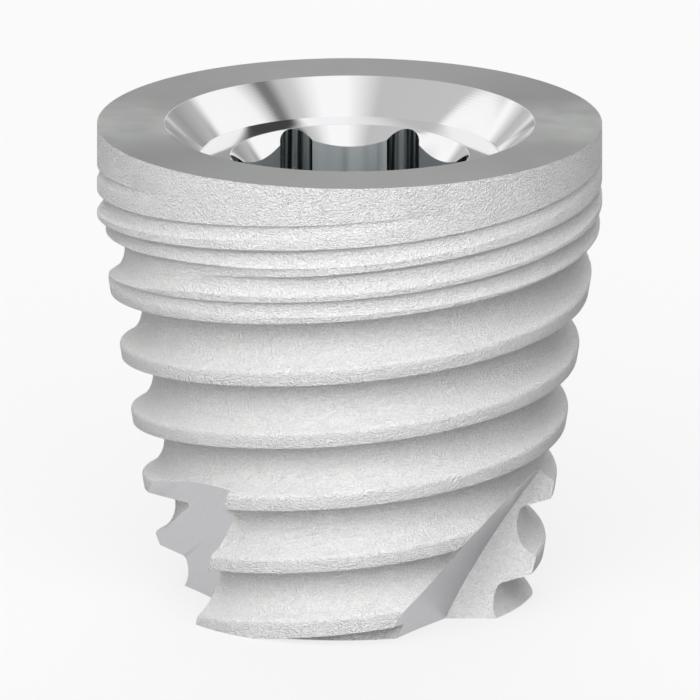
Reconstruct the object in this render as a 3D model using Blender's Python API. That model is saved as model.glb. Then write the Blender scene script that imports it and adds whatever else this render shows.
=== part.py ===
"""Dental implant fixture: a tapered titanium screw with an internal hexagon and lobes.

One solid, turned and milled. It stands on its flat apex at z = 0, its platform
faces +Z and the side that the photograph shows faces -Y. Azimuths are in degrees,
anticlockwise seen from above, and start at -Y. Depths are measured down from the
platform. Lengths below are in millimetres.
"""

import math

import bmesh
import bpy
from mathutils import Vector

MM = 0.001

# The outside, before any thread is cut.
PLATFORM_DIAMETER = 7.0
LENGTH = 6.8
TAPER_START_DEPTH = 1.26
TAPER_ANGLE = 9.47

# The main thread: right-handed, with flat crests that are undercut almost square.
THREAD_LEAD = 1.865
THREAD_STARTS = 2
THREAD_PHASE_DEPTH = 1.0
THREAD_DEPTH = 0.395
THREAD_CREST_WIDTH = 0.23
THREAD_FLANK_ANGLE = 12.0
THREAD_ROOT_RADIUS = 0.10
THREAD_CREST_RADIUS = 0.09
THREAD_RUNOUT_AZIMUTH = 27.0
THREAD_RUNOUT_SPAN = 127.0
THREAD_APEX_FADE_FROM_DEPTH = 6.25
THREAD_APEX_FADE_TO_DEPTH = 7.4

# The fine grooves below the collar, which share the lead of the main thread.
MICRO_STARTS = 5
MICRO_PHASE_DEPTH = 0.463
MICRO_DEPTH = 0.105
MICRO_CREST_WIDTH = 0.06
MICRO_FLANK_ANGLE = 22.0
MICRO_ROOT_RADIUS = 0.05
MICRO_CREST_RADIUS = 0.05
MICRO_FADE_IN_DEPTH = 0.34
MICRO_FULL_FROM_DEPTH = 0.95
MICRO_FULL_TO_DEPTH = 1.3
MICRO_FADE_OUT_DEPTH = 2.5

# The mouth of the connection.
BEVEL_DIAMETER = 5.135
LEDGE_DIAMETER = 4.176
LEDGE_DEPTH = 0.457
CHAMFER_DIAMETER = 3.317
CHAMFER_ANGLE = 45.0

# The socket, whose depth the photograph doesn't show. The centre of each lobe lies
# inwards of its corner of the hexagon by the inset.
HEX_ACROSS_FLATS = 2.815
LOBE_COUNT = 6
LOBE_INSET = 0.2482
LOBE_RADIUS = 0.276
SOCKET_DEPTH = 2.9

# The bore of the retaining screw, plain here and not seen in the photograph.
BORE_DIAMETER = 1.7
BORE_MOUTH_DIAMETER = 2.1
BORE_DEPTH = 5.0
BORE_TIP_ANGLE = 118.0

# The cutting flutes at the apex. A round mill comes in from outside and below, and
# stops at a flat face. These place the mill of the flute at +X, -Y: its axis where
# it crosses the plane of the apex, the way it heads from +X, and how steeply it rises.
FLUTE_COUNT = 3
FLUTE_MILL_RADIUS = 2.778
FLUTE_MILL_APEX_X = 4.247
FLUTE_MILL_APEX_Y = -1.886
FLUTE_MILL_HEADING = 49.1
FLUTE_MILL_RISE = 26.9
FLUTE_MILL_RETREAT = 6.0
FLUTE_FACE_OFFSET = 1.122
FLUTE_FACE_LEAN = 21.8

# How finely the surfaces are divided.
COLUMNS = 68
FLANK_STEPS = 4
FILLET_STEPS = 2
MOUTH_SEGMENTS = 72
BORE_SEGMENTS = 36
LOBE_STEPS = 8
FLUTE_SEGMENTS = 64

# Cutters pass the surfaces that they open by this much.
OVERRUN = 0.3

# Points of one column that lie closer than this along the axis become one, and
# points that lie this close to a straight run are left out.
SMALLEST_STEP = 0.006
STRAIGHT_WITHIN = 0.0005

# Slopes, and helices, that differ by less than this count as one.
SAME_SLOPE_WITHIN = 1e-9
SAME_HELIX_WITHIN = 1e-6


def crest_radius(depth):
    """Radius of the blank at this depth below the platform."""
    taper = math.tan(math.radians(TAPER_ANGLE))
    return PLATFORM_DIAMETER / 2 - taper * max(0.0, depth - TAPER_START_DEPTH)


def groove_profile(width, depth, flank_angle, root_radius, corner_radius):
    """Points (distance down, depth of cut) across one groove, from its sharp upper edge.

    A nearly square flank leads in to a small root fillet, a hollow flank leads out
    again, and a rounded corner joins it to the next crest.
    """
    lean = math.radians(flank_angle)
    root_at = (root_radius + (depth - root_radius) * math.sin(lean)) / math.cos(lean)
    points = [(0.0, 0.0)]
    for step in range(FILLET_STEPS + 1):
        turn = (math.pi / 2 + lean) * step / FILLET_STEPS - lean
        along = root_at - root_radius * math.cos(turn)
        inward = depth - root_radius + root_radius * math.sin(turn)
        points.append((along, inward))
    rise = width - root_at
    hollow_radius = (rise * rise + depth * depth) / (2 * depth)
    centre_depth = depth - hollow_radius
    reach = hollow_radius + corner_radius
    crest_at = root_at + math.sqrt(reach * reach - (corner_radius - centre_depth) ** 2)
    crest_turn = math.atan2(corner_radius - centre_depth, crest_at - root_at)
    for step in range(1, FLANK_STEPS + 1):
        turn = math.pi / 2 + (crest_turn - math.pi / 2) * step / FLANK_STEPS
        along = root_at + hollow_radius * math.cos(turn)
        points.append((along, centre_depth + hollow_radius * math.sin(turn)))
    for step in range(1, FILLET_STEPS + 1):
        turn = crest_turn + (math.pi / 2 - crest_turn) * step / FILLET_STEPS
        along = crest_at - corner_radius * math.cos(turn)
        points.append((along, corner_radius - corner_radius * math.sin(turn)))
    return points


def share_between(value, zero_at, one_at):
    """0 at the first limit, 1 at the second, and linear between them."""
    return min(1.0, max(0.0, (value - zero_at) / (one_at - zero_at)))


def turns_met(phase_depth, pitch, drop, last_depth):
    """Numbers of the turns that a meridian meets between the platform and a depth."""
    first = math.floor((drop - phase_depth) / pitch)
    last = math.ceil((drop - phase_depth + last_depth) / pitch)
    return range(first, last)


def grooves_at(azimuth):
    """Every groove that this meridian crosses, as lists of (depth, depth of cut)."""
    drop = THREAD_LEAD * azimuth / 360
    grooves = []
    pitch = THREAD_LEAD / THREAD_STARTS
    profile = groove_profile(
        pitch - THREAD_CREST_WIDTH,
        THREAD_DEPTH,
        THREAD_FLANK_ANGLE,
        THREAD_ROOT_RADIUS,
        THREAD_CREST_RADIUS,
    )
    for turn in turns_met(THREAD_PHASE_DEPTH, pitch, drop, LENGTH):
        start = THREAD_PHASE_DEPTH + pitch * turn - drop
        runout = THREAD_RUNOUT_AZIMUTH + 360 / THREAD_STARTS * turn
        begun = share_between(azimuth, runout, runout - THREAD_RUNOUT_SPAN)
        left = share_between(start, THREAD_APEX_FADE_TO_DEPTH, THREAD_APEX_FADE_FROM_DEPTH)
        full = min(begun * begun, left)
        lift = THREAD_DEPTH * (1 - full)
        if full > 0:
            grooves.append([(start + down, cut - lift) for down, cut in profile])
    spacing = THREAD_LEAD / MICRO_STARTS
    profile = groove_profile(
        spacing - MICRO_CREST_WIDTH,
        MICRO_DEPTH,
        MICRO_FLANK_ANGLE,
        MICRO_ROOT_RADIUS,
        MICRO_CREST_RADIUS,
    )
    for turn in turns_met(MICRO_PHASE_DEPTH, spacing, drop, MICRO_FADE_OUT_DEPTH):
        start = MICRO_PHASE_DEPTH + spacing * turn - drop
        begun = share_between(start, MICRO_FADE_IN_DEPTH, MICRO_FULL_FROM_DEPTH)
        left = share_between(start, MICRO_FADE_OUT_DEPTH, MICRO_FULL_TO_DEPTH)
        full = min(begun, left * left)
        lift = MICRO_DEPTH * (1 - full)
        if full > 0:
            grooves.append([(start + down, cut - lift) for down, cut in profile])
    return grooves


def cut_at(groove, depth):
    """Depth of cut of one groove at this depth, or 0 beside the groove."""
    for (upper, upper_cut), (lower, lower_cut) in zip(groove, groove[1:]):
        if upper <= depth <= lower:
            share = (depth - upper) / (lower - upper)
            return upper_cut + (lower_cut - upper_cut) * share
    return 0.0


def crossings(first, second):
    """Depths at which two grooves cut equally deep."""
    found = []
    for (a0, a_cut0), (a1, a_cut1) in zip(first, first[1:]):
        for (b0, b_cut0), (b1, b_cut1) in zip(second, second[1:]):
            low = max(a0, b0)
            high = min(a1, b1)
            if low >= high:
                continue
            a_slope = (a_cut1 - a_cut0) / (a1 - a0)
            b_slope = (b_cut1 - b_cut0) / (b1 - b0)
            if abs(a_slope - b_slope) < SAME_SLOPE_WITHIN:
                continue
            gap = b_cut0 - a_cut0 + a_slope * a0 - b_slope * b0
            depth = gap / (a_slope - b_slope)
            if low < depth < high:
                found.append(depth)
    return found


def column_at(azimuth):
    """Points (helix key, radius, height) down one meridian of the threaded outside.

    Points of neighbouring columns that lie on one helix have the same key.
    """
    blank = [(-OVERRUN, 0.0), (LENGTH + OVERRUN, 0.0)]
    curves = grooves_at(azimuth) + [blank]
    depths = {TAPER_START_DEPTH, MICRO_FADE_IN_DEPTH}
    for index, curve in enumerate(curves):
        depths.update(depth for depth, cut in curve)
        for other in curves[index + 1 :]:
            depths.update(crossings(curve, other))
    points = [(0.0, crest_radius(0.0))]
    for depth in sorted(depths):
        if depth - points[-1][0] > SMALLEST_STEP and depth < LENGTH - SMALLEST_STEP:
            cut = max(cut_at(curve, depth) for curve in curves)
            points.append((depth, crest_radius(depth) - cut))
    cut = max(cut_at(curve, LENGTH) for curve in curves)
    points.append((LENGTH, crest_radius(LENGTH) - cut))
    kept = [points[0]]
    for here, after in zip(points[1:], points[2:]):
        before = kept[-1]
        share = (here[0] - before[0]) / (after[0] - before[0])
        straight = before[1] + (after[1] - before[1]) * share
        if abs(here[1] - straight) > STRAIGHT_WITHIN:
            kept.append(here)
    kept.append(points[-1])
    drop = THREAD_LEAD * azimuth / 360
    return [(depth + drop, radius, LENGTH - depth) for depth, radius in kept]


def strip_between(left, right):
    """Triangles, as index pairs (column, row), that join two columns along helices."""
    triangles = []
    i = 0
    j = 0
    while i < len(left) - 1 or j < len(right) - 1:
        next_left = left[i + 1][0] if i < len(left) - 1 else math.inf
        next_right = right[j + 1][0] if j < len(right) - 1 else math.inf
        if abs(next_left - next_right) < SAME_HELIX_WITHIN:
            triangles.append(((0, i), (0, i + 1), (1, j + 1)))
            triangles.append(((0, i), (1, j + 1), (1, j)))
            i += 1
            j += 1
        elif next_left < next_right:
            triangles.append(((0, i), (0, i + 1), (1, j)))
            i += 1
        else:
            triangles.append(((0, i), (1, j + 1), (1, j)))
            j += 1
    return triangles


def new_object(name, bm, material=None):
    """An object in the scene from a mesh under construction."""
    mesh = bpy.data.meshes.new(name)
    bmesh.ops.recalc_face_normals(bm, faces=bm.faces)
    bm.to_mesh(mesh)
    bm.free()
    obj = bpy.data.objects.new(name, mesh)
    bpy.context.scene.collection.objects.link(obj)
    if material is not None:
        mesh.materials.append(material)
    return obj


def threaded_blank(name, material):
    """The solid outside: collar, fine grooves and main thread, with flat ends."""
    bm = bmesh.new()
    columns = []
    rows = []
    for index in range(COLUMNS):
        azimuth = 360 * index / COLUMNS
        angle = math.radians(azimuth - 90)
        column = column_at(azimuth)
        row = []
        for key, radius, height in column:
            x = radius * math.cos(angle)
            y = radius * math.sin(angle)
            row.append(bm.verts.new((x * MM, y * MM, height * MM)))
        columns.append(column)
        rows.append(row)
    for index in range(COLUMNS):
        after = (index + 1) % COLUMNS
        right = columns[after]
        if after == 0:
            right = [(key + THREAD_LEAD, radius, z) for key, radius, z in right]
        pair = (rows[index], rows[after])
        for triangle in strip_between(columns[index], right):
            bm.faces.new([pair[side][row] for side, row in triangle])
    bm.faces.new([row[0] for row in rows])
    bm.faces.new([row[-1] for row in reversed(rows)])
    return new_object(name, bm, material)


def turned_tool(name, profile, segments):
    """A closed solid of revolution from points (radius, height), in millimetres."""
    bm = bmesh.new()
    rings = []
    for radius, height in profile:
        if radius == 0:
            rings.append([bm.verts.new((0, 0, height * MM))])
            continue
        ring = []
        for index in range(segments):
            angle = 2 * math.pi * (index + 0.5) / segments
            x = radius * math.cos(angle)
            y = radius * math.sin(angle)
            ring.append(bm.verts.new((x * MM, y * MM, height * MM)))
        rings.append(ring)
    for upper, lower in zip(rings, rings[1:]):
        for index in range(segments):
            after = (index + 1) % segments
            if len(upper) == 1:
                bm.faces.new((upper[0], lower[index], lower[after]))
            elif len(lower) == 1:
                bm.faces.new((upper[index], lower[0], upper[after]))
            else:
                bm.faces.new((upper[index], lower[index], lower[after], upper[after]))
    return new_object(name, bm)


def prism_tool(name, outline, low, high):
    """An upright prism between two heights from an outline (x, y), in millimetres."""
    bm = bmesh.new()
    levels = []
    for height in (low, high):
        levels.append([bm.verts.new((x * MM, y * MM, height * MM)) for x, y in outline])
    lower, upper = levels
    for index in range(len(outline)):
        after = (index + 1) % len(outline)
        bm.faces.new((lower[index], lower[after], upper[after], upper[index]))
    bm.faces.new(lower)
    bm.faces.new(upper)
    return new_object(name, bm)


def mouth_profile():
    """Bevel, ledge and lead-in chamfer of the connection."""
    bevel_run = (BEVEL_DIAMETER - LEDGE_DIAMETER) / 2
    above = OVERRUN * bevel_run / LEDGE_DEPTH
    # The chamfer's cone goes on inwards until it is over the open socket.
    inner = HEX_ACROSS_FLATS / 2 - OVERRUN
    chamfer = (CHAMFER_DIAMETER / 2 - inner) / math.tan(math.radians(CHAMFER_ANGLE))
    ledge = LENGTH - LEDGE_DEPTH
    return [
        (0, LENGTH + OVERRUN),
        (BEVEL_DIAMETER / 2 + above, LENGTH + OVERRUN),
        (LEDGE_DIAMETER / 2, ledge),
        (CHAMFER_DIAMETER / 2, ledge),
        (inner, ledge - chamfer),
        (0, ledge - chamfer),
    ]


def socket_outline():
    """A hexagon with flat sides and a round lobe at each corner, a flat towards +Y."""
    half_step = math.pi / LOBE_COUNT
    circle_radius = HEX_ACROSS_FLATS / 2 / math.cos(half_step) - LOBE_INSET
    inside_flat = LOBE_INSET * math.cos(half_step)
    span = math.acos(inside_flat / LOBE_RADIUS) + half_step
    outline = []
    for lobe in range(LOBE_COUNT):
        middle = math.pi / 2 + half_step * (2 * lobe + 1)
        x = circle_radius * math.cos(middle)
        y = circle_radius * math.sin(middle)
        for step in range(LOBE_STEPS + 1):
            angle = middle + span * (2 * step / LOBE_STEPS - 1)
            outline.append(
                (x + LOBE_RADIUS * math.cos(angle), y + LOBE_RADIUS * math.sin(angle))
            )
    return outline


def bore_profile():
    """Screw bore with a chamfered mouth and the cone that a drill leaves."""
    floor = LENGTH - SOCKET_DEPTH
    bore = BORE_DIAMETER / 2
    mouth = BORE_MOUTH_DIAMETER / 2
    bottom = LENGTH - BORE_DEPTH
    tip = bore / math.tan(math.radians(BORE_TIP_ANGLE / 2))
    return [
        (0, floor + OVERRUN),
        (mouth + OVERRUN, floor + OVERRUN),
        (bore, floor - (mouth - bore)),
        (bore, bottom),
        (0, bottom - tip),
    ]


def flute_tool(name):
    """A round bar along the path of the mill, cut off square to -Y by the leaning face."""
    heading = math.radians(FLUTE_MILL_HEADING)
    rise = math.radians(FLUTE_MILL_RISE)
    lean = math.tan(math.radians(FLUTE_FACE_LEAN))
    axis = Vector((math.cos(heading), math.sin(heading), math.tan(rise))).normalized()
    side = Vector((-math.sin(heading), math.cos(heading), 0.0))
    upright = axis.cross(side)
    centre = Vector((FLUTE_MILL_APEX_X, FLUTE_MILL_APEX_Y, 0.0))
    bm = bmesh.new()
    back = []
    face = []
    for index in range(FLUTE_SEGMENTS):
        angle = 2 * math.pi * index / FLUTE_SEGMENTS
        rim = side * math.cos(angle) + upright * math.sin(angle)
        point = centre + rim * FLUTE_MILL_RADIUS
        gap = lean * point.z - FLUTE_FACE_OFFSET - point.y
        reach = gap / (axis.y - lean * axis.z)
        back.append(bm.verts.new((point - axis * FLUTE_MILL_RETREAT) * MM))
        face.append(bm.verts.new((point + axis * reach) * MM))
    for index in range(FLUTE_SEGMENTS):
        after = (index + 1) % FLUTE_SEGMENTS
        bm.faces.new((back[index], back[after], face[after], face[index]))
    bm.faces.new(back)
    bm.faces.new(face)
    return new_object(name, bm)


def cut(target, tool):
    """Subtracts the tool, which stays in the file as a hidden wire helper."""
    tool.hide_render = True
    tool.display_type = "WIRE"
    modifier = target.modifiers.new(tool.name, "BOOLEAN")
    modifier.operation = "DIFFERENCE"
    modifier.solver = "EXACT"
    modifier.object = tool


def titanium():
    """Blasted and etched titanium."""
    material = bpy.data.materials.new("blasted_titanium")
    material.use_nodes = True
    shader = material.node_tree.nodes["Principled BSDF"]
    shader.inputs["Base Color"].default_value = (0.66, 0.65, 0.64, 1.0)
    shader.inputs["Metallic"].default_value = 1.0
    shader.inputs["Roughness"].default_value = 0.55
    return material


for leftover in list(bpy.data.objects):
    bpy.data.objects.remove(leftover, do_unlink=True)

fixture = threaded_blank("implant_fixture", titanium())

cut(fixture, turned_tool("mouth_tool", mouth_profile(), MOUTH_SEGMENTS))
floor_height = LENGTH - SOCKET_DEPTH
cut(
    fixture,
    prism_tool("socket_tool", socket_outline(), floor_height, LENGTH + OVERRUN),
)
cut(fixture, turned_tool("bore_tool", bore_profile(), BORE_SEGMENTS))

for flute in range(FLUTE_COUNT):
    mill = flute_tool(f"flute_tool_{flute + 1}")
    mill.rotation_euler = (0, 0, 2 * math.pi * flute / FLUTE_COUNT)
    cut(fixture, mill)

for polygon in fixture.data.polygons:
    polygon.use_smooth = True
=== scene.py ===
"""Dental implant fixture: its finished surface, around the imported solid.

The same turned and milled form as the solid, divided more finely, with its edges
broken and the tapped bore cut, and with a finish for each blasted, turned or milled
face. Azimuths are in degrees, anticlockwise seen from above, and start at -Y. Depths
are measured down from the platform. Lengths are in millimetres.
"""

import math

import bmesh
import bpy
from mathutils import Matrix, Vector


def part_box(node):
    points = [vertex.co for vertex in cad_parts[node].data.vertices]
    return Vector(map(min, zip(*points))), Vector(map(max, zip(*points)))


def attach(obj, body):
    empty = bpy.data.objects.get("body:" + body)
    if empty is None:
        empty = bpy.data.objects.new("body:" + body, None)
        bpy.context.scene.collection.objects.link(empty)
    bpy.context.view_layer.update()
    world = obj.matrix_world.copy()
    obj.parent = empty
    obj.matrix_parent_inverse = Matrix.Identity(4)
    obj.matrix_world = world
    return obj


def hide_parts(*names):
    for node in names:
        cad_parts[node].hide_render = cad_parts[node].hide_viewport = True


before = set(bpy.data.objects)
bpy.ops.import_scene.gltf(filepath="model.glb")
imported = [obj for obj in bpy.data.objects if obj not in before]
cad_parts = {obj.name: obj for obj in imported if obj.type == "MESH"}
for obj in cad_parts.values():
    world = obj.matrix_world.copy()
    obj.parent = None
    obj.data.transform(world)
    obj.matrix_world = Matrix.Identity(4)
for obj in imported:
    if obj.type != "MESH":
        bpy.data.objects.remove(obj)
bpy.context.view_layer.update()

MM = 0.001
NODE = "implant_fixture"

# The outside, whose diameter and length are the solid's.
node_low, node_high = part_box(NODE)
PLATFORM_DIAMETER = round((node_high.x - node_low.x) / MM, 3)
LENGTH = round((node_high.z - node_low.z) / MM, 3)
TAPER_START_DEPTH = 1.26
TAPER_ANGLE = 9.47
EDGE_BREAK = 0.012
MICRO_EDGE_BREAK = 0.004

# The main thread: right-handed, with flat crests that are undercut almost square.
THREAD_LEAD = 1.865
THREAD_STARTS = 2
THREAD_PHASE_DEPTH = 1.0
THREAD_DEPTH = 0.395
THREAD_CREST_WIDTH = 0.23
THREAD_FLANK_ANGLE = 12.0
THREAD_ROOT_RADIUS = 0.10
THREAD_CREST_RADIUS = 0.09
THREAD_RUNOUT_AZIMUTH = 27.0
THREAD_RUNOUT_SPAN = 127.0
THREAD_APEX_FADE_FROM_DEPTH = 6.25
THREAD_APEX_FADE_TO_DEPTH = 7.4

# The fine grooves below the collar, which share the lead of the main thread.
MICRO_STARTS = 5
MICRO_PHASE_DEPTH = 0.463
MICRO_DEPTH = 0.105
MICRO_CREST_WIDTH = 0.06
MICRO_FLANK_ANGLE = 22.0
MICRO_ROOT_RADIUS = 0.05
MICRO_CREST_RADIUS = 0.05
MICRO_FADE_IN_DEPTH = 0.34
MICRO_FULL_FROM_DEPTH = 0.95
MICRO_FULL_TO_DEPTH = 1.3
MICRO_FADE_OUT_DEPTH = 2.5

# The mouth of the connection.
BEVEL_DIAMETER = 5.135
LEDGE_DIAMETER = 4.176
LEDGE_DEPTH = 0.457
CHAMFER_DIAMETER = 3.317
CHAMFER_ANGLE = 45.0

# The socket.
HEX_ACROSS_FLATS = 2.815
LOBE_COUNT = 6
LOBE_INSET = 0.2482
LOBE_RADIUS = 0.276
SOCKET_DEPTH = 2.9

# The bore of the retaining screw and its M2 thread.
BORE_DIAMETER = 1.7
BORE_MOUTH_DIAMETER = 2.1
BORE_DEPTH = 5.0
BORE_TIP_ANGLE = 118.0
TAP_DIAMETER = 2.0
TAP_LEAD = 0.4
TAP_CREST_WIDTH = 0.05
TAP_ROOT_SHARES = (0.44, 0.56)
TAP_END_DEPTH = 4.6

# The cutting flutes at the apex: a round mill that stops at a leaning flat face.
FLUTE_COUNT = 3
FLUTE_MILL_RADIUS = 2.778
FLUTE_MILL_APEX_X = 4.247
FLUTE_MILL_APEX_Y = -1.886
FLUTE_MILL_HEADING = 49.1
FLUTE_MILL_RISE = 26.9
FLUTE_MILL_RETREAT = 6.0
FLUTE_FACE_OFFSET = 1.122
FLUTE_FACE_LEAN = 21.8

# How finely the surfaces are divided.
COLUMNS = 240
FLANK_STEPS = 10
FILLET_STEPS = 4
MOUTH_SEGMENTS = 240
BORE_SEGMENTS = 96
TAP_COLUMNS = 60
LOBE_STEPS = 28
FLUTE_SEGMENTS = 192
SHARP_ANGLE = 32.0
FLOOR_SEGMENTS = 96
FLOOR_RADIUS = 400.0

# Cutters pass the surfaces that they open by this much.
OVERRUN = 0.3

# Points of one column that lie closer than this along the axis become one, and
# points that lie this close to a straight run are left out.
SMALLEST_STEP = 0.004
STRAIGHT_WITHIN = 0.0002

# Slopes, and helices, that differ by less than this count as one.
SAME_SLOPE_WITHIN = 1e-9
SAME_HELIX_WITHIN = 1e-6

# A face that lies this close to the platform's plane or the apex's is a part of it. It
# is far less than the 0.0002 mm that the first facet of the platform's broken edge drops.
END_WITHIN = 0.00001

# The finishes. Textures are in features per millimetre, heights in millimetres, and
# pairs are the least and the most of what a texture varies.
BLASTED_COLOUR = (0.78, 0.78, 0.78)
# The blasted colour is darker in the grain's valleys: painted shade of the grain, over the
# grain's own random tone.
BLASTED_VALLEY_SHADE = (0.75, 0.75, 0.75)
BLASTED_PALE = (0.85, 0.848, 0.846)
BLASTED_METALLIC = 0.12
BLASTED_ROUGHNESS = (0.55, 0.66)
BLASTED_CLOUD_SCALE = 1.2
GRAIN_SCALE = 40.0
GRAIN_DISTORTION = 1.0
GRAIN_HEIGHT = 0.03
PIT_SCALE = 90.0
PIT_HEIGHT = 0.007
PIT_STRENGTH = 0.6
RING_DISTORTION = 1.5
RING_DETAIL = 2.0
RING_DETAIL_SCALE = 0.4
PLATFORM_COLOUR = (0.48, 0.49, 0.48)
PLATFORM_ROUGHNESS = (0.35, 0.41)
PLATFORM_ANISOTROPY = 0.8
MOUTH_COLOUR = (0.93, 0.93, 0.94)
MOUTH_ROUGHNESS = (0.04, 0.07)
FLAT_COLOUR = (0.66, 0.70, 0.71)
FLAT_ROUGHNESS = (0.36, 0.44)
FLAT_STREAKS = (9.0, 9.0, 0.4)
# The lobes' dark and bright upright streaks in the colour are painted reflections.
LOBE_COLOUR = (0.3, 0.33, 0.34)
LOBE_PAINTED_DARK_REFLECTION = (0.05, 0.06, 0.06)
LOBE_PAINTED_BRIGHT_REFLECTION = (0.72, 0.76, 0.77)
LOBE_ROUGHNESS = 0.25
LOBE_STREAKS = (14.0, 14.0, 0.3)
BORE_COLOUR = (0.6, 0.6, 0.6)
BORE_ROUGHNESS = (0.24, 0.38)
FLUTE_COLOUR = (0.54, 0.54, 0.555)
FLUTE_ROUGHNESS = (0.3, 0.38)
FLOOR_COLOUR = (0.1, 0.1, 0.1)
FLOOR_ROUGHNESS = 0.9

# The light: soft patches of sky. For each, the way to its middle, the cosines from
# there at which it begins and is full, and its strength. Nothing shines from below: the
# light fades in over these heights above the horizon.
SOFTBOXES = (
    ((0.0, -0.97, 0.26), 0.76, 0.95, 1.0),
    ((-0.06, -0.86, 0.51), 0.76, 0.95, 2.7),
    ((0.0, -0.64, 0.77), 0.76, 0.95, 1.2),
    ((0.0, -0.1, 1.0), 0.85, 0.97, 0.95),
    ((-0.77, -0.64, 0.36), 0.76, 0.95, 0.65),
    ((0.0, 0.86, 0.51), 0.76, 0.95, 2.3),
)
SKY_LEVEL = 0.03
HORIZON = (0.0, 0.12)
WARM_LEFT = (1.012, 1.0, 0.988)
COOL_RIGHT = (0.988, 0.995, 1.012)

# What gloss sees instead. Except towards -Y, rows of panels with gaps, as (X of the way
# out, brightness), one overhead and one behind, a dark foot below the rear row, and a
# dark flag over both. Towards -Y, the light itself, held to this brightness. Where one
# gives way to the other, the pair is the first and last Y or Z of the way out.
GLOSS_LIMIT = 0.9
OVERHEAD_PANELS = (
    (-1.0, 0.55),
    (-0.70, 0.75),
    (-0.64, 1.0),
    (-0.61, 0.97),
    (-0.585, 0.56),
    (-0.20, 0.54),
    (-0.08, 0.80),
    (0.02, 1.0),
    (0.20, 1.0),
    (0.27, 0.86),
    (0.34, 0.64),
    (0.41, 0.52),
    (0.465, 0.18),
    (0.495, 0.20),
    (0.53, 0.62),
    (0.575, 0.97),
    (0.66, 1.0),
    (0.80, 0.70),
    (1.0, 0.50),
)
REAR_PANELS = (
    (-1.0, 0.6),
    (-0.66, 1.0),
    (-0.57, 1.0),
    (-0.535, 0.72),
    (-0.49, 0.50),
    (-0.42, 0.56),
    (-0.36, 0.95),
    (-0.15, 0.95),
    (-0.08, 0.35),
    (0.08, 0.35),
    (0.15, 0.95),
    (0.34, 0.95),
    (0.40, 0.40),
    (0.48, 0.33),
    (0.545, 0.42),
    (0.59, 0.50),
    (0.615, 0.36),
    (0.66, 0.60),
    (1.0, 0.60),
)
FRONT_FROM_Y = (-0.35, -0.6)
REAR_FROM_Y = (0.55, 0.66)
REAR_FOOT_TO_Z = (0.10, 0.20)
REAR_FOOT = (0.38, 0.38, 0.38)
FLAG_MIDDLE = (0.32, 0.52, 0.79)
FLAG_EDGE = (0.975, 0.99)
FLAG_COLOUR = (0.05, 0.05, 0.05)

# How the camera, gloss and glass see the room, and the floor: the room's brightness,
# this share of the light on the floor, and a glow of the floor's own.
ROOM_LEVEL = 0.955
FLOOR_SHADOW_SHARE = 0.15
FLOOR_GLOW = 0.77

# The photograph's view and framing, at 700 x 700 pixels; lengths in millimetres.
VIEW_ELEVATION = 15.0
IMAGE_WIDTH = 700
PIXEL = 0.013856
PLATFORM_CENTRE_X = 349.6
PLATFORM_CENTRE_Y = 123.5
CAMERA_DISTANCE = 50.0
CAMERA_CLIP = (1.0, 1000.0)


def crest_radius(depth):
    """Radius of the blank at this depth below the platform."""
    taper = math.tan(math.radians(TAPER_ANGLE))
    return PLATFORM_DIAMETER / 2 - taper * max(0.0, depth - TAPER_START_DEPTH)


def groove_profile(width, depth, flank_angle, root_radius, corner_radius, edge):
    """Points (distance down, depth of cut) across one groove, from its upper edge.

    A broken edge and a nearly square flank lead in to a small root fillet, a hollow
    flank leads out again, and a rounded corner joins it to the next crest.
    """
    lean = math.radians(flank_angle)
    root_at = (root_radius + (depth - root_radius) * math.sin(lean)) / math.cos(lean)
    edge_back = edge * math.tan((math.pi / 2 - lean) / 2)
    points = []
    for step in range(FILLET_STEPS + 1):
        turn = (math.pi / 2 - lean) * step / FILLET_STEPS
        along = edge * math.sin(turn) - edge_back
        points.append((along, edge - edge * math.cos(turn)))
    for step in range(FILLET_STEPS + 1):
        turn = (math.pi / 2 + lean) * step / FILLET_STEPS - lean
        along = root_at - root_radius * math.cos(turn)
        inward = depth - root_radius + root_radius * math.sin(turn)
        points.append((along, inward))
    rise = width - root_at
    hollow_radius = (rise * rise + depth * depth) / (2 * depth)
    centre_depth = depth - hollow_radius
    reach = hollow_radius + corner_radius
    crest_at = root_at + math.sqrt(reach * reach - (corner_radius - centre_depth) ** 2)
    crest_turn = math.atan2(corner_radius - centre_depth, crest_at - root_at)
    for step in range(1, FLANK_STEPS + 1):
        turn = math.pi / 2 + (crest_turn - math.pi / 2) * step / FLANK_STEPS
        along = root_at + hollow_radius * math.cos(turn)
        points.append((along, centre_depth + hollow_radius * math.sin(turn)))
    for step in range(1, FILLET_STEPS + 1):
        turn = crest_turn + (math.pi / 2 - crest_turn) * step / FILLET_STEPS
        along = crest_at - corner_radius * math.cos(turn)
        points.append((along, corner_radius - corner_radius * math.sin(turn)))
    return points


def share_between(value, zero_at, one_at):
    """0 at the first limit, 1 at the second, and linear between them."""
    return min(1.0, max(0.0, (value - zero_at) / (one_at - zero_at)))


def turns_met(phase_depth, pitch, drop, last_depth):
    """Numbers of the turns that a meridian meets between the platform and a depth."""
    first = math.floor((drop - phase_depth) / pitch)
    last = math.ceil((drop - phase_depth + last_depth) / pitch)
    return range(first, last)


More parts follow.
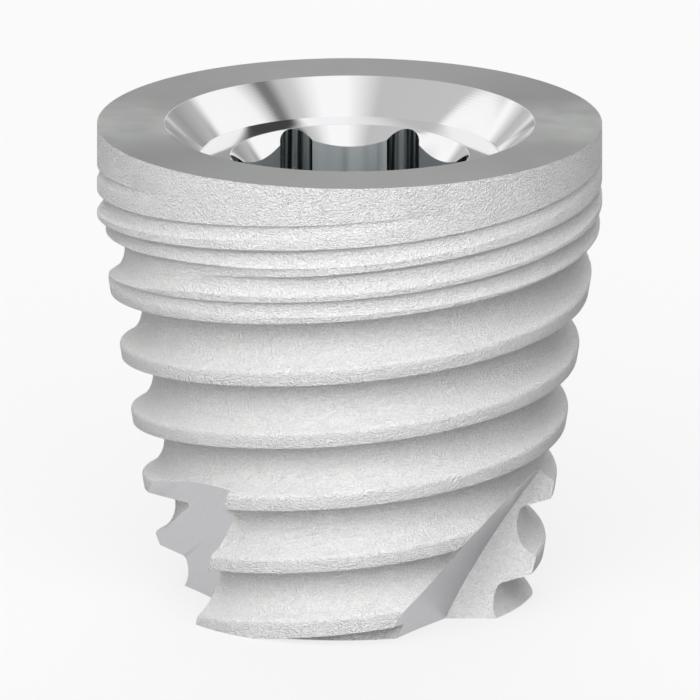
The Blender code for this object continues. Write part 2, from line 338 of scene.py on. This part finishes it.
def grooves_at(azimuth):
    """Every groove that this meridian crosses, as lists of (depth, depth of cut)."""
    drop = THREAD_LEAD * azimuth / 360
    grooves = []
    pitch = THREAD_LEAD / THREAD_STARTS
    profile = groove_profile(
        pitch - THREAD_CREST_WIDTH,
        THREAD_DEPTH,
        THREAD_FLANK_ANGLE,
        THREAD_ROOT_RADIUS,
        THREAD_CREST_RADIUS,
        EDGE_BREAK,
    )
    for turn in turns_met(THREAD_PHASE_DEPTH, pitch, drop, LENGTH):
        start = THREAD_PHASE_DEPTH + pitch * turn - drop
        runout = THREAD_RUNOUT_AZIMUTH + 360 / THREAD_STARTS * turn
        begun = share_between(azimuth, runout, runout - THREAD_RUNOUT_SPAN)
        left = share_between(start, THREAD_APEX_FADE_TO_DEPTH, THREAD_APEX_FADE_FROM_DEPTH)
        full = min(begun * begun, left)
        lift = THREAD_DEPTH * (1 - full)
        if full > 0:
            grooves.append([(start + down, cut - lift) for down, cut in profile])
    spacing = THREAD_LEAD / MICRO_STARTS
    profile = groove_profile(
        spacing - MICRO_CREST_WIDTH,
        MICRO_DEPTH,
        MICRO_FLANK_ANGLE,
        MICRO_ROOT_RADIUS,
        MICRO_CREST_RADIUS,
        MICRO_EDGE_BREAK,
    )
    for turn in turns_met(MICRO_PHASE_DEPTH, spacing, drop, MICRO_FADE_OUT_DEPTH):
        start = MICRO_PHASE_DEPTH + spacing * turn - drop
        begun = share_between(start, MICRO_FADE_IN_DEPTH, MICRO_FULL_FROM_DEPTH)
        left = share_between(start, MICRO_FADE_OUT_DEPTH, MICRO_FULL_TO_DEPTH)
        full = min(begun, left * left)
        lift = MICRO_DEPTH * (1 - full)
        if full > 0:
            grooves.append([(start + down, cut - lift) for down, cut in profile])
    return grooves


def cut_at(groove, depth):
    """Depth of cut of one groove at this depth, or 0 beside the groove."""
    if not groove[0][0] <= depth <= groove[-1][0]:
        return 0.0
    for (upper, upper_cut), (lower, lower_cut) in zip(groove, groove[1:]):
        if upper <= depth <= lower:
            share = (depth - upper) / (lower - upper)
            return upper_cut + (lower_cut - upper_cut) * share
    return 0.0


def crossings(first, second):
    """Depths at which two grooves cut equally deep."""
    found = []
    if first[-1][0] <= second[0][0] or second[-1][0] <= first[0][0]:
        return found
    for (a0, a_cut0), (a1, a_cut1) in zip(first, first[1:]):
        if a1 <= second[0][0] or a0 >= second[-1][0]:
            continue
        for (b0, b_cut0), (b1, b_cut1) in zip(second, second[1:]):
            low = max(a0, b0)
            high = min(a1, b1)
            if low >= high:
                continue
            a_slope = (a_cut1 - a_cut0) / (a1 - a0)
            b_slope = (b_cut1 - b_cut0) / (b1 - b0)
            if abs(a_slope - b_slope) < SAME_SLOPE_WITHIN:
                continue
            gap = b_cut0 - a_cut0 + a_slope * a0 - b_slope * b0
            depth = gap / (a_slope - b_slope)
            if low < depth < high:
                found.append(depth)
    return found


def outside_at(azimuth):
    """Points (depth, radius) down one meridian of the threaded outside."""
    blank = [(-OVERRUN, 0.0), (LENGTH + OVERRUN, 0.0)]
    curves = grooves_at(azimuth) + [blank]
    depths = {TAPER_START_DEPTH, MICRO_FADE_IN_DEPTH}
    for index, curve in enumerate(curves):
        depths.update(depth for depth, cut in curve)
        for other in curves[index + 1 :]:
            depths.update(crossings(curve, other))
    points = [(0.0, crest_radius(0.0))]
    for depth in sorted(depths):
        if depth - points[-1][0] > SMALLEST_STEP and depth < LENGTH - SMALLEST_STEP:
            cut = max(cut_at(curve, depth) for curve in curves)
            points.append((depth, crest_radius(depth) - cut))
    cut = max(cut_at(curve, LENGTH) for curve in curves)
    points.append((LENGTH, crest_radius(LENGTH) - cut))
    kept = [points[0]]
    for here, after in zip(points[1:], points[2:]):
        before = kept[-1]
        share = (here[0] - before[0]) / (after[0] - before[0])
        straight = before[1] + (after[1] - before[1]) * share
        if abs(here[1] - straight) > STRAIGHT_WITHIN:
            kept.append(here)
    kept.append(points[-1])
    return kept


def tap_at(azimuth):
    """Points (depth, radius) down one meridian of the tap that threads the bore."""
    root = TAP_DIAMETER / 2
    inner = BORE_DIAMETER / 2 - TAP_CREST_WIDTH
    root_from, root_to = TAP_ROOT_SHARES
    low = SOCKET_DEPTH - OVERRUN
    points = [(low, inner)]
    first = math.floor(low / TAP_LEAD) - 1
    for turn in range(first, math.ceil(TAP_END_DEPTH / TAP_LEAD) + 2):
        start = TAP_LEAD * (turn - azimuth / 360)
        valley = TAP_LEAD - TAP_CREST_WIDTH
        valley_points = ((0.0, inner), (root_from, root), (root_to, root), (1.0, inner))
        for share, radius in valley_points:
            depth = start + valley * share
            if points[-1][0] + SMALLEST_STEP < depth < TAP_END_DEPTH - SMALLEST_STEP:
                points.append((depth, radius))
    points.append((TAP_END_DEPTH, inner))
    return points


def strip_between(left, right):
    """Triangles, as index pairs (column, row), that join two columns along helices."""
    triangles = []
    i = 0
    j = 0
    while i < len(left) - 1 or j < len(right) - 1:
        next_left = left[i + 1] if i < len(left) - 1 else math.inf
        next_right = right[j + 1] if j < len(right) - 1 else math.inf
        if abs(next_left - next_right) < SAME_HELIX_WITHIN:
            triangles.append(((0, i), (0, i + 1), (1, j + 1)))
            triangles.append(((0, i), (1, j + 1), (1, j)))
            i += 1
            j += 1
        elif next_left < next_right:
            triangles.append(((0, i), (0, i + 1), (1, j)))
            i += 1
        else:
            triangles.append(((0, i), (1, j + 1), (1, j)))
            j += 1
    return triangles


def new_object(name, bm, finishes):
    """An object in the scene from a mesh under construction, and its materials."""
    mesh = bpy.data.meshes.new(name)
    bmesh.ops.recalc_face_normals(bm, faces=bm.faces)
    bm.to_mesh(mesh)
    bm.free()
    obj = bpy.data.objects.new(name, mesh)
    bpy.context.scene.collection.objects.link(obj)
    for finish in finishes:
        mesh.materials.append(finish)
    return obj


def screw_solid(name, profile_at, lead, columns, side, top, bottom):
    """A solid whose meridians follow a helix, closed by two flat ends."""
    finishes = list(dict.fromkeys((side, top, bottom)))
    bm = bmesh.new()
    keys = []
    rows = []
    for index in range(columns):
        azimuth = 360 * index / columns
        angle = math.radians(azimuth - 90)
        profile = profile_at(azimuth)
        keys.append([depth + lead * azimuth / 360 for depth, radius in profile])
        row = []
        for depth, radius in profile:
            x = radius * math.cos(angle)
            y = radius * math.sin(angle)
            row.append(bm.verts.new((x * MM, y * MM, (LENGTH - depth) * MM)))
        rows.append(row)
    for index in range(columns):
        after = (index + 1) % columns
        right = keys[after]
        if after == 0:
            right = [key + lead for key in right]
        pair = (rows[index], rows[after])
        for triangle in strip_between(keys[index], right):
            bm.faces.new([pair[column][row] for column, row in triangle])
    upper_end = bm.faces.new([row[0] for row in rows])
    upper_end.material_index = finishes.index(top)
    lower_end = bm.faces.new([row[-1] for row in reversed(rows)])
    lower_end.material_index = finishes.index(bottom)
    return new_object(name, bm, finishes)


def turned_tool(name, profile, segments, finish):
    """A closed solid of revolution from points (radius, height), in millimetres."""
    bm = bmesh.new()
    rings = []
    for radius, height in profile:
        if radius == 0:
            rings.append([bm.verts.new((0, 0, height * MM))])
            continue
        ring = []
        for index in range(segments):
            angle = 2 * math.pi * (index + 0.5) / segments
            x = radius * math.cos(angle)
            y = radius * math.sin(angle)
            ring.append(bm.verts.new((x * MM, y * MM, height * MM)))
        rings.append(ring)
    for upper, lower in zip(rings, rings[1:]):
        for index in range(segments):
            after = (index + 1) % segments
            if len(upper) == 1:
                bm.faces.new((upper[0], lower[index], lower[after]))
            elif len(lower) == 1:
                bm.faces.new((upper[index], lower[0], upper[after]))
            else:
                bm.faces.new((upper[index], lower[index], lower[after], upper[after]))
    return new_object(name, bm, [finish])


def socket_tool(name, low, high, flat_finish, lobe_finish):
    """An upright prism between two heights, with a finish for its flats and its lobes."""
    outline = socket_outline()
    bm = bmesh.new()
    levels = []
    for height in (low, high):
        levels.append([bm.verts.new((x * MM, y * MM, height * MM)) for x, y in outline])
    lower, upper = levels
    for index in range(len(outline)):
        after = (index + 1) % len(outline)
        wall = bm.faces.new((lower[index], lower[after], upper[after], upper[index]))
        in_lobe = index % (LOBE_STEPS + 1) < LOBE_STEPS
        wall.material_index = 1 if in_lobe else 0
    bm.faces.new(lower)
    bm.faces.new(upper)
    return new_object(name, bm, [flat_finish, lobe_finish])


def broken_edge(before, corner, after, radius):
    """Points of an arc that rounds one corner of a profile (radius, height)."""
    here = Vector(corner)
    towards_before = (Vector(before) - here).normalized()
    towards_after = (Vector(after) - here).normalized()
    half = towards_before.angle(towards_after) / 2
    middle = (towards_before + towards_after).normalized()
    centre = here + middle * (radius / math.sin(half))
    first = here + towards_before * (radius / math.tan(half)) - centre
    last = here + towards_after * (radius / math.tan(half)) - centre
    points = []
    for step in range(FILLET_STEPS + 1):
        spoke = first.slerp(last, step / FILLET_STEPS).normalized()
        points.append(tuple(centre + spoke * radius))
    return points


def mouth_profile():
    """Bevel, ledge and lead-in chamfer of the connection, with their edges broken."""
    ledge = LENGTH - LEDGE_DEPTH
    # The chamfer's cone goes on inwards until it is over the open socket.
    inner = HEX_ACROSS_FLATS / 2 - OVERRUN
    chamfer = (CHAMFER_DIAMETER / 2 - inner) / math.tan(math.radians(CHAMFER_ANGLE))
    outer = (PLATFORM_DIAMETER / 2, LENGTH)
    rim = (BEVEL_DIAMETER / 2, LENGTH)
    foot = (LEDGE_DIAMETER / 2, ledge)
    lip = (CHAMFER_DIAMETER / 2, ledge)
    bottom = (inner, ledge - chamfer)
    rim_arc = broken_edge(outer, rim, foot, EDGE_BREAK)
    top_radius = rim_arc[0][0]
    return [
        (0, LENGTH + OVERRUN),
        (top_radius, LENGTH + OVERRUN),
        *rim_arc,
        foot,
        *broken_edge(foot, lip, bottom, EDGE_BREAK),
        bottom,
        (0, ledge - chamfer),
    ]


def socket_outline():
    """A hexagon with flat sides and a round lobe at each corner, a flat towards +Y."""
    half_step = math.pi / LOBE_COUNT
    circle_radius = HEX_ACROSS_FLATS / 2 / math.cos(half_step) - LOBE_INSET
    inside_flat = LOBE_INSET * math.cos(half_step)
    span = math.acos(inside_flat / LOBE_RADIUS) + half_step
    outline = []
    for lobe in range(LOBE_COUNT):
        middle = math.pi / 2 + half_step * (2 * lobe + 1)
        x = circle_radius * math.cos(middle)
        y = circle_radius * math.sin(middle)
        for step in range(LOBE_STEPS + 1):
            angle = middle + span * (2 * step / LOBE_STEPS - 1)
            outline.append(
                (x + LOBE_RADIUS * math.cos(angle), y + LOBE_RADIUS * math.sin(angle))
            )
    return outline


def bore_profile():
    """Screw bore with a chamfered mouth and the cone that a drill leaves."""
    floor = LENGTH - SOCKET_DEPTH
    bore = BORE_DIAMETER / 2
    mouth = BORE_MOUTH_DIAMETER / 2
    bottom = LENGTH - BORE_DEPTH
    tip = bore / math.tan(math.radians(BORE_TIP_ANGLE / 2))
    return [
        (0, floor + OVERRUN),
        (mouth + OVERRUN, floor + OVERRUN),
        (bore, floor - (mouth - bore)),
        (bore, bottom),
        (0, bottom - tip),
    ]


def flute_tool(name, hollow_finish, face_finish):
    """A round bar along the path of the mill, cut off square to -Y by the leaning face."""
    heading = math.radians(FLUTE_MILL_HEADING)
    rise = math.radians(FLUTE_MILL_RISE)
    lean = math.tan(math.radians(FLUTE_FACE_LEAN))
    axis = Vector((math.cos(heading), math.sin(heading), math.tan(rise))).normalized()
    side = Vector((-math.sin(heading), math.cos(heading), 0.0))
    upright = axis.cross(side)
    centre = Vector((FLUTE_MILL_APEX_X, FLUTE_MILL_APEX_Y, 0.0))
    bm = bmesh.new()
    back = []
    face = []
    for index in range(FLUTE_SEGMENTS):
        angle = 2 * math.pi * index / FLUTE_SEGMENTS
        rim = side * math.cos(angle) + upright * math.sin(angle)
        point = centre + rim * FLUTE_MILL_RADIUS
        gap = lean * point.z - FLUTE_FACE_OFFSET - point.y
        reach = gap / (axis.y - lean * axis.z)
        back.append(bm.verts.new((point - axis * FLUTE_MILL_RETREAT) * MM))
        face.append(bm.verts.new((point + axis * reach) * MM))
    for index in range(FLUTE_SEGMENTS):
        after = (index + 1) % FLUTE_SEGMENTS
        bm.faces.new((back[index], back[after], face[after], face[index]))
    bm.faces.new(back)
    stop = bm.faces.new(face)
    stop.material_index = 1
    return new_object(name, bm, [hollow_finish, face_finish])


def cut(target, tool):
    """Subtracts the tool, whose faces keep their finish, and removes it."""
    modifier = target.modifiers.new(tool.name, "BOOLEAN")
    modifier.operation = "DIFFERENCE"
    modifier.solver = "EXACT"
    modifier.material_mode = "TRANSFER"
    modifier.object = tool
    graph = bpy.context.evaluated_depsgraph_get()
    made = bpy.data.meshes.new_from_object(target.evaluated_get(graph))
    before = target.data
    target.modifiers.clear()
    target.data = made
    bpy.data.meshes.remove(before)
    bpy.data.objects.remove(tool, do_unlink=True)


def keep_ends_flat(mesh):
    """Makes the outlines of the platform and the apex sharp, so that both shade flat."""
    bm = bmesh.new()
    bm.from_mesh(mesh)
    for edge in bm.edges:
        in_an_end = []
        for face in edge.link_faces:
            heights = [vertex.co.z / MM for vertex in face.verts]
            at_apex = max(heights) < END_WITHIN
            at_platform = min(heights) > LENGTH - END_WITHIN
            in_an_end.append(at_apex or at_platform)
        if any(in_an_end) and not all(in_an_end):
            edge.smooth = False
    bm.to_mesh(mesh)
    bm.free()


def new_material(name, colour, metallic, roughness):
    """A Principled material and its node tree, shader and object coordinates in mm."""
    material = bpy.data.materials.new(name)
    material.use_nodes = True
    tree = material.node_tree
    shader = tree.nodes["Principled BSDF"]
    shader.inputs["Base Color"].default_value = (*colour, 1.0)
    shader.inputs["Metallic"].default_value = metallic
    shader.inputs["Roughness"].default_value = roughness
    place = tree.nodes.new("ShaderNodeTexCoord")
    scale = tree.nodes.new("ShaderNodeMapping")
    scale.inputs["Scale"].default_value = (1 / MM, 1 / MM, 1 / MM)
    tree.links.new(place.outputs["Object"], scale.inputs["Vector"])
    return material, tree, shader, scale.outputs["Vector"]


def noise(tree, place, scale, detail=2.0, roughness=0.5, distortion=0.0):
    """A noise texture; the scale is in features per millimetre."""
    node = tree.nodes.new("ShaderNodeTexNoise")
    node.inputs["Scale"].default_value = scale
    node.inputs["Detail"].default_value = detail
    node.inputs["Roughness"].default_value = roughness
    node.inputs["Distortion"].default_value = distortion
    tree.links.new(place, node.inputs["Vector"])
    return node.outputs["Fac"]


def spread(tree, value, low, high, to_low, to_high, smooth=False):
    """The value mapped from one range to another, and held inside it."""
    node = tree.nodes.new("ShaderNodeMapRange")
    node.interpolation_type = "SMOOTHSTEP" if smooth else "LINEAR"
    node.inputs["From Min"].default_value = low
    node.inputs["From Max"].default_value = high
    node.inputs["To Min"].default_value = to_low
    node.inputs["To Max"].default_value = to_high
    tree.links.new(value, node.inputs["Value"])
    return node.outputs["Result"]


def blend(tree, share, first, second):
    """A colour between two, each given as a colour or as the output of a node."""
    node = tree.nodes.new("ShaderNodeMix")
    node.data_type = "RGBA"
    tree.links.new(share, node.inputs["Factor"])
    for end, colour in (("A", first), ("B", second)):
        if isinstance(colour, tuple):
            node.inputs[end].default_value = (*colour, 1.0)
        else:
            tree.links.new(colour, node.inputs[end])
    return node.outputs["Result"]


def combined(tree, operation, first, second):
    """The sum, product or larger of two values of the node tree."""
    node = tree.nodes.new("ShaderNodeMath")
    node.operation = operation
    tree.links.new(first, node.inputs[0])
    tree.links.new(second, node.inputs[1])
    return node.outputs["Value"]


def relief(tree, height, distance, strength, under=None):
    """A bump from a height, over another one where given; the distance is in mm."""
    node = tree.nodes.new("ShaderNodeBump")
    node.inputs["Distance"].default_value = distance * MM
    node.inputs["Strength"].default_value = strength
    tree.links.new(height, node.inputs["Height"])
    if under is not None:
        tree.links.new(under, node.inputs["Normal"])
    return node.outputs["Normal"]


def squeezed(tree, place, factors):
    """Coordinates scaled by a factor along each axis, for streaks along the others."""
    node = tree.nodes.new("ShaderNodeMapping")
    node.inputs["Scale"].default_value = factors
    tree.links.new(place, node.inputs["Vector"])
    return node.outputs["Vector"]


def blasted_titanium():
    """Grit-blasted and etched: pale, matt, with a fine wrinkled grain and pits."""
    material, tree, shader, place = new_material(
        "blasted_titanium", BLASTED_COLOUR, BLASTED_METALLIC, 0.6
    )
    grain = noise(tree, place, GRAIN_SCALE, detail=0.0, distortion=GRAIN_DISTORTION)
    pits = noise(tree, place, PIT_SCALE, detail=1.0)
    cloud = noise(tree, place, BLASTED_CLOUD_SCALE)
    # The colour follows the grain's height and is darker in its valleys: painted shade of
    # the grain, over its own random tone.
    grain_valley_shade = spread(tree, grain, 0.3, 0.6, 0.0, 1.0)
    colour = blend(tree, grain_valley_shade, BLASTED_VALLEY_SHADE, BLASTED_PALE)
    tree.links.new(colour, shader.inputs["Base Color"])
    dullness = spread(tree, cloud, 0.35, 0.65, *BLASTED_ROUGHNESS)
    tree.links.new(dullness, shader.inputs["Roughness"])
    coarse = relief(tree, grain, GRAIN_HEIGHT, 1.0)
    fine = relief(tree, pits, PIT_HEIGHT, PIT_STRENGTH, coarse)
    tree.links.new(fine, shader.inputs["Normal"])
    return material


def turned_rings(tree, place, scale, distance, strength):
    """The fine circular marks of a turning tool round the axis."""
    node = tree.nodes.new("ShaderNodeTexWave")
    node.wave_type = "RINGS"
    node.rings_direction = "Z"
    node.inputs["Scale"].default_value = scale
    node.inputs["Distortion"].default_value = RING_DISTORTION
    node.inputs["Detail"].default_value = RING_DETAIL
    node.inputs["Detail Scale"].default_value = RING_DETAIL_SCALE
    tree.links.new(place, node.inputs["Vector"])
    return relief(tree, node.outputs["Fac"], distance, strength)


def machined_platform():
    """The platform: turned satin, whose gloss spreads across the turning marks."""
    material, tree, shader, place = new_material(
        "machined_platform", PLATFORM_COLOUR, 1.0, 0.38
    )
    rings = turned_rings(tree, place, scale=6.0, distance=0.0006, strength=0.25)
    tree.links.new(rings, shader.inputs["Normal"])
    around = tree.nodes.new("ShaderNodeTangent")
    around.direction_type = "RADIAL"
    around.axis = "Z"
    tree.links.new(around.outputs["Tangent"], shader.inputs["Tangent"])
    shader.inputs["Anisotropic"].default_value = PLATFORM_ANISOTROPY
    cloud = noise(tree, place, scale=2.0, detail=3.0)
    dullness = spread(tree, cloud, 0.3, 0.7, *PLATFORM_ROUGHNESS)
    tree.links.new(dullness, shader.inputs["Roughness"])
    return material


def polished_mouth():
    """The bevel, ledge and chamfer: turned to a mirror."""
    material, tree, shader, place = new_material("polished_mouth", MOUTH_COLOUR, 1.0, 0.06)
    rings = turned_rings(tree, place, scale=9.0, distance=0.0003, strength=0.12)
    tree.links.new(rings, shader.inputs["Normal"])
    cloud = noise(tree, place, scale=3.0)
    dullness = spread(tree, cloud, 0.3, 0.7, *MOUTH_ROUGHNESS)
    tree.links.new(dullness, shader.inputs["Roughness"])
    return material


def milled_flat():
    """The socket's flats: satin, with faint upright tool streaks."""
    material, tree, shader, place = new_material("milled_flat", FLAT_COLOUR, 1.0, 0.4)
    streaks = noise(tree, squeezed(tree, place, FLAT_STREAKS), 1.0)
    upright = relief(tree, streaks, distance=0.002, strength=0.25)
    tree.links.new(upright, shader.inputs["Normal"])
    dullness = spread(tree, streaks, 0.35, 0.65, *FLAT_ROUGHNESS)
    tree.links.new(dullness, shader.inputs["Roughness"])
    return material


def milled_lobe():
    """The socket's round lobes: dark between bright upright streaks, which are painted
    reflections.
    """
    material, tree, shader, place = new_material(
        "milled_lobe", LOBE_COLOUR, 1.0, LOBE_ROUGHNESS
    )
    streaks = noise(tree, squeezed(tree, place, LOBE_STREAKS), 1.0)
    # Painted reflection: the colour runs from dark to bright along the upright streaks.
    painted_reflection = spread(tree, streaks, 0.42, 0.62, 0.0, 1.0)
    colour = blend(tree, painted_reflection, LOBE_PAINTED_DARK_REFLECTION, LOBE_PAINTED_BRIGHT_REFLECTION)
    tree.links.new(colour, shader.inputs["Base Color"])
    upright = relief(tree, streaks, distance=0.004, strength=0.5)
    tree.links.new(upright, shader.inputs["Normal"])
    return material


def tapped_bore():
    """The bore and its thread: bare cut titanium."""
    material, tree, shader, place = new_material("tapped_bore", BORE_COLOUR, 1.0, 0.3)
    rub = noise(tree, place, scale=8.0, detail=3.0)
    dullness = spread(tree, rub, 0.3, 0.7, *BORE_ROUGHNESS)
    tree.links.new(dullness, shader.inputs["Roughness"])
    worn = relief(tree, rub, distance=0.002, strength=0.3)
    tree.links.new(worn, shader.inputs["Normal"])
    return material


def milled_flute():
    """The hollow of a flute: smooth from the mill, with a trace of the blasted grain."""
    material, tree, shader, place = new_material("milled_flute", FLUTE_COLOUR, 1.0, 0.34)
    marks = noise(tree, place, scale=14.0)
    dullness = spread(tree, marks, 0.3, 0.7, *FLUTE_ROUGHNESS)
    tree.links.new(dullness, shader.inputs["Roughness"])
    grain = noise(tree, place, GRAIN_SCALE, detail=0.0, distortion=GRAIN_DISTORTION)
    satin = relief(tree, grain, distance=0.01, strength=0.5)
    tree.links.new(satin, shader.inputs["Normal"])
    return material


def fixture_body():
    """The whole fixture, cut from one threaded blank."""
    blasted = blasted_titanium()
    polished = polished_mouth()
    milled = milled_flute()
    platform = machined_platform()
    body = screw_solid(
        "fixture_body", outside_at, THREAD_LEAD, COLUMNS, blasted, platform, blasted
    )
    cut(body, turned_tool("mouth_tool", mouth_profile(), MOUTH_SEGMENTS, polished))
    floor_height = LENGTH - SOCKET_DEPTH
    flats = milled_flat()
    lobes = milled_lobe()
    cut(body, socket_tool("socket_tool", floor_height, LENGTH + OVERRUN, flats, lobes))
    bored = tapped_bore()
    cut(body, turned_tool("bore_tool", bore_profile(), BORE_SEGMENTS, bored))
    cut(body, screw_solid("tap", tap_at, TAP_LEAD, TAP_COLUMNS, bored, bored, bored))
    for flute in range(FLUTE_COUNT):
        mill = flute_tool(f"flute_tool_{flute + 1}", milled, blasted)
        mill.rotation_euler = (0, 0, 2 * math.pi * flute / FLUTE_COUNT)
        bpy.context.view_layer.update()
        cut(body, mill)
    body.data.shade_smooth()
    body.data.set_sharp_from_angle(angle=math.radians(SHARP_ANGLE))
    keep_ends_flat(body.data)
    return body


def seen_directly(tree):
    """1 for the rays of the camera, of gloss and of glass, and 0 for all other rays."""
    path = tree.nodes.new("ShaderNodeLightPath")
    camera_ray = path.outputs["Is Camera Ray"]
    glossy_ray = path.outputs["Is Glossy Ray"]
    camera_or_gloss = combined(tree, "MAXIMUM", camera_ray, glossy_ray)
    return combined(tree, "MAXIMUM", camera_or_gloss, path.outputs["Is Transmission Ray"])


def pale_floor():
    """White paper, which looks lighter than the light that it sends back."""
    material, tree, shader, _ = new_material(
        "pale_floor", FLOOR_COLOUR, 0.0, FLOOR_ROUGHNESS
    )
    shader.inputs["Specular IOR Level"].default_value = 0.0
    grey = (FLOOR_SHADOW_SHARE, FLOOR_SHADOW_SHARE, FLOOR_SHADOW_SHARE, 1.0)
    seen = tree.nodes.new("ShaderNodeBsdfDiffuse")
    seen.inputs["Color"].default_value = grey
    glow = tree.nodes.new("ShaderNodeEmission")
    glow.inputs["Strength"].default_value = FLOOR_GLOW
    both = tree.nodes.new("ShaderNodeAddShader")
    tree.links.new(seen.outputs["BSDF"], both.inputs[0])
    tree.links.new(glow.outputs["Emission"], both.inputs[1])
    either = tree.nodes.new("ShaderNodeMixShader")
    tree.links.new(seen_directly(tree), either.inputs["Fac"])
    tree.links.new(shader.outputs["BSDF"], either.inputs[1])
    tree.links.new(both.outputs["Shader"], either.inputs[2])
    out = tree.nodes["Material Output"]
    tree.links.new(either.outputs["Shader"], out.inputs["Surface"])
    return material


def floor_plane():
    """A plain pale floor under the apex."""
    bm = bmesh.new()
    radius = FLOOR_RADIUS * MM
    bmesh.ops.create_circle(bm, cap_ends=True, segments=FLOOR_SEGMENTS, radius=radius)
    floor = new_object("floor", bm, [pale_floor()])


def panel_row(tree, across, panels):
    """The brightness of a row of panels, by the share of the way from left to right."""
    node = tree.nodes.new("ShaderNodeValToRGB")
    ramp = node.color_ramp
    while len(ramp.elements) < len(panels):
        ramp.elements.new(0.5)
    for element, (x, level) in zip(ramp.elements, panels):
        element.position = (x + 1) / 2
        element.color = (level, level, level, 1.0)
    tree.links.new(across, node.inputs["Fac"])
    return node.outputs["Color"]


def patch(tree, direction, middle, begins, full, level):
    """The level inside a round patch of directions, which fades smoothly to 0 outside."""
    node = tree.nodes.new("ShaderNodeVectorMath")
    node.operation = "DOT_PRODUCT"
    node.inputs[1].default_value = Vector(middle).normalized()
    tree.links.new(direction, node.inputs[0])
    return spread(tree, node.outputs["Value"], begins, full, 0.0, level, True)


def sky_light(tree, direction, height):
    """The strength of the light from each direction: a dim sky and its soft patches."""
    dim_sky = tree.nodes.new("ShaderNodeValue")
    dim_sky.outputs["Value"].default_value = SKY_LEVEL
    level = dim_sky.outputs["Value"]
    for middle, begins, full, strength in SOFTBOXES:
        softbox = patch(tree, direction, middle, begins, full, strength)
        level = combined(tree, "ADD", level, softbox)
    above_horizon = spread(tree, height, *HORIZON, 0.0, 1.0, True)
    return combined(tree, "MULTIPLY", level, above_horizon)


def mirrored_room(tree, direction, parts, across, light):
    """What polished metal sees: panels overhead and behind, the soft light in front."""
    rear = spread(tree, parts.outputs["Y"], *REAR_FROM_Y, 0.0, 1.0, True)
    above_foot = spread(tree, parts.outputs["Z"], *REAR_FOOT_TO_Z, 0.0, 1.0, True)
    rear_row = blend(tree, above_foot, REAR_FOOT, panel_row(tree, across, REAR_PANELS))
    rows = blend(tree, rear, panel_row(tree, across, OVERHEAD_PANELS), rear_row)
    flag = patch(tree, direction, FLAG_MIDDLE, *FLAG_EDGE, 1.0)
    flagged = blend(tree, flag, rows, FLAG_COLOUR)
    front = spread(tree, parts.outputs["Y"], *FRONT_FROM_Y, 0.0, 1.0, True)
    held = spread(tree, light, 0.0, GLOSS_LIMIT, 0.0, GLOSS_LIMIT)
    return blend(tree, front, flagged, held)


def studio_world():
    """A pale room with soft light: metal sees panels with gaps, the camera sees white."""
    world = bpy.data.worlds.new("studio")
    bpy.context.scene.world = world
    world.use_nodes = True
    tree = world.node_tree
    tree.nodes.clear()
    place = tree.nodes.new("ShaderNodeTexCoord")
    direction = place.outputs["Generated"]
    parts = tree.nodes.new("ShaderNodeSeparateXYZ")
    tree.links.new(direction, parts.inputs["Vector"])
    across = spread(tree, parts.outputs["X"], -1.0, 1.0, 0.0, 1.0)
    light = sky_light(tree, direction, parts.outputs["Z"])
    room = tree.nodes.new("ShaderNodeBackground")
    tree.links.new(blend(tree, across, WARM_LEFT, COOL_RIGHT), room.inputs["Color"])
    tree.links.new(light, room.inputs["Strength"])
    mirrored = tree.nodes.new("ShaderNodeBackground")
    seen_by_metal = mirrored_room(tree, direction, parts, across, light)
    tree.links.new(seen_by_metal, mirrored.inputs["Color"])
    white = tree.nodes.new("ShaderNodeBackground")
    white.inputs["Color"].default_value = (ROOM_LEVEL, ROOM_LEVEL, ROOM_LEVEL, 1.0)
    path = tree.nodes.new("ShaderNodeLightPath")
    glossy = tree.nodes.new("ShaderNodeMixShader")
    tree.links.new(path.outputs["Is Glossy Ray"], glossy.inputs["Fac"])
    tree.links.new(room.outputs["Background"], glossy.inputs[1])
    tree.links.new(mirrored.outputs["Background"], glossy.inputs[2])
    camera_ray = path.outputs["Is Camera Ray"]
    clear = combined(tree, "MAXIMUM", camera_ray, path.outputs["Is Transmission Ray"])
    direct = tree.nodes.new("ShaderNodeMixShader")
    tree.links.new(clear, direct.inputs["Fac"])
    tree.links.new(glossy.outputs["Shader"], direct.inputs[1])
    tree.links.new(white.outputs["Background"], direct.inputs[2])
    out = tree.nodes.new("ShaderNodeOutputWorld")
    tree.links.new(direct.outputs["Shader"], out.inputs["Surface"])


def photo_camera():
    """An orthographic camera that frames the fixture as the photograph does."""
    e = math.radians(VIEW_ELEVATION)
    back = Vector((0, -math.cos(e), math.sin(e)))
    up = Vector((0, math.sin(e), math.cos(e)))
    right = Vector((1, 0, 0))
    middle = IMAGE_WIDTH / 2
    aim = Vector((0, 0, LENGTH))
    aim -= up * ((middle - PLATFORM_CENTRE_Y) * PIXEL)
    aim += right * ((middle - PLATFORM_CENTRE_X) * PIXEL)
    data = bpy.data.cameras.new("camera")
    data.type = "ORTHO"
    data.ortho_scale = IMAGE_WIDTH * PIXEL * MM
    nearest, farthest = CAMERA_CLIP
    data.clip_start = nearest * MM
    data.clip_end = farthest * MM
    camera = bpy.data.objects.new("camera", data)
    bpy.context.scene.collection.objects.link(camera)
    camera.location = (aim + back * CAMERA_DISTANCE) * MM
    camera.rotation_mode = "QUATERNION"
    camera.rotation_quaternion = (-back).to_track_quat("-Z", "Y")
    bpy.context.scene.camera = camera


body = fixture_body()
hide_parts(NODE)
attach(body, "root")

floor_plane()
studio_world()
photo_camera()
bpy.context.scene.view_settings.view_transform = "Standard"
